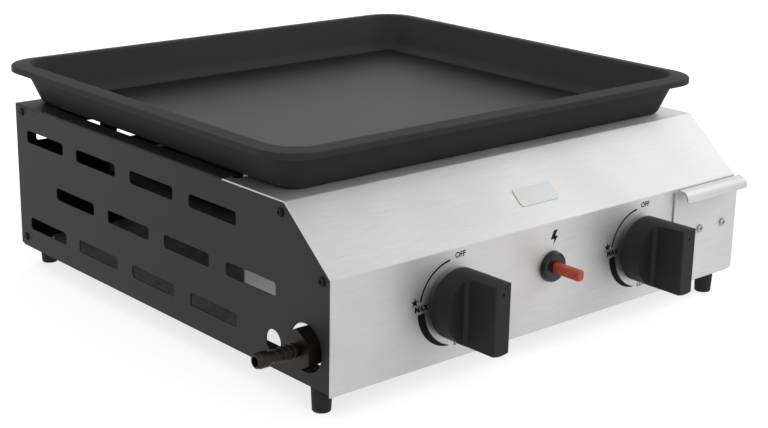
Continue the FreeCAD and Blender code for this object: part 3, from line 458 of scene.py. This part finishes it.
def seenStraight(tree):
    # 1 where the camera looks, also in a mirroring surface or through a clear one, and 0 for lighting
    ray = addNode(tree, "ShaderNodeLightPath").outputs
    mirrored = addNode(tree, "ShaderNodeMath", {0: ray["Is Camera Ray"], 1: ray["Is Glossy Ray"]},
                       operation="MAXIMUM")
    seen = addNode(tree, "ShaderNodeMath", {0: mirrored.outputs[0], 1: ray["Is Transmission Ray"]},
                   operation="MAXIMUM")
    return seen.outputs[0]


def grey(level):
    return (level, level, level, 1)


def addFloor(s):
    # A flat square of paper: white to the camera and in shiny surfaces, darker only in the object's shade.
    half = s["paperHalf"]
    corners = [(-half, -half, 0), (half, -half, 0), (half, half, 0), (-half, half, 0)]
    mesh = bpy.data.meshes.new("floor")
    mesh.from_pydata(corners, [], [[0, 1, 2, 3]])
    floor = bpy.data.objects.new("floor", mesh)
    bpy.context.scene.collection.objects.link(floor)
    paper = bpy.data.materials.new("paperSweep")
    paper.use_nodes = True
    tree = paper.node_tree
    tree.nodes.clear()
    shade = addNode(tree, "ShaderNodeBsdfDiffuse", {"Color": grey(s["paper"])})
    glow = addNode(tree, "ShaderNodeEmission", {"Strength": s["paperGlow"]})
    white = addNode(tree, "ShaderNodeAddShader", {0: shade.outputs[0], 1: glow.outputs[0]})
    plain = addNode(tree, "ShaderNodeBsdfDiffuse", {"Color": grey(s["paperBounce"])})
    either = addNode(tree, "ShaderNodeMixShader", {0: seenStraight(tree), 1: plain.outputs[0],
                                                   2: white.outputs[0]})
    addNode(tree, "ShaderNodeOutputMaterial", {"Surface": either.outputs[0]})
    mesh.materials.append(paper)


def addSky(s):
    # A pale room, white to the camera and in shiny surfaces.
    world = bpy.data.worlds.new("paleRoom")
    bpy.context.scene.world = world
    world.use_nodes = True
    tree = world.node_tree
    tree.nodes.clear()
    level = addNode(tree, "ShaderNodeMapRange", {"Value": seenStraight(tree), "To Min": s["sky"],
                                                 "To Max": 1.0})
    sky = addNode(tree, "ShaderNodeBackground", {"Color": grey(1), "Strength": level.outputs["Result"]})
    addNode(tree, "ShaderNodeOutputWorld", {"Surface": sky.outputs[0]})


# metres and watts
softboxes = {
    "softboxRight": {"place": (1.6, -0.6, 1.2), "aim": (0, 0, 0.1), "size": 0.9, "energy": 5.0},
    "softboxFront": {"place": (-0.6, -1.9, 1.3), "aim": (0, 0, 0.1), "size": 1.2, "energy": 4.0},
}


def addLamp(name, s):
    lamp = bpy.data.lights.new(name, "AREA")
    lamp.shape = "SQUARE"
    lamp.size = s["size"]
    lamp.energy = s["energy"]
    holder = bpy.data.objects.new(name, lamp)
    holder.location = s["place"]
    holder.rotation_euler = (Vector(s["aim"]) - Vector(s["place"])).to_track_quat("-Z", "Y").to_euler()
    bpy.context.scene.collection.objects.link(holder)


addFloor(studio)
addSky(studio)
for name, s in softboxes.items():
    addLamp(name, s)
print("floor, sky and lamps")


# place in millimetres, angles in degrees, focal length in points of a picture 768 wide
photoCamera = {"place": (-671.45, -816.24, 464.46), "turn": -41.4673, "tilt": 16.9521, "roll": 1.135,
               "focal": 1542.8, "pictureWidth": 768, "sensorWidth": 36.0, "clipStart": 0.05}


def addCamera(s):
    # Looks from a turn about Z and a tilt above the floor, and rolls a little about its own line of sight.
    turn, tilt, roll = (math.radians(s[angle]) for angle in ("turn", "tilt", "roll"))
    back = Vector((math.sin(turn) * math.cos(tilt), -math.cos(turn) * math.cos(tilt), math.sin(tilt)))
    right = Vector((math.cos(turn), math.sin(turn), 0))
    up = back.cross(right)
    rightRolled = math.cos(roll) * right + math.sin(roll) * up
    upRolled = math.cos(roll) * up - math.sin(roll) * right
    lens = bpy.data.cameras.new("photoCamera")
    lens.sensor_width = s["sensorWidth"]
    lens.lens = s["focal"] * s["sensorWidth"] / s["pictureWidth"]
    lens.clip_start = s["clipStart"]
    holder = bpy.data.objects.new("photoCamera", lens)
    turned = Matrix((rightRolled, upRolled, back)).transposed().to_4x4()
    holder.matrix_world = Matrix.Translation(onCasing(*s["place"])) @ turned
    bpy.context.scene.collection.objects.link(holder)
    bpy.context.scene.camera = holder


addCamera(photoCamera)
bpy.context.scene.view_settings.view_transform = "Standard"
bpy.context.view_layer.update()
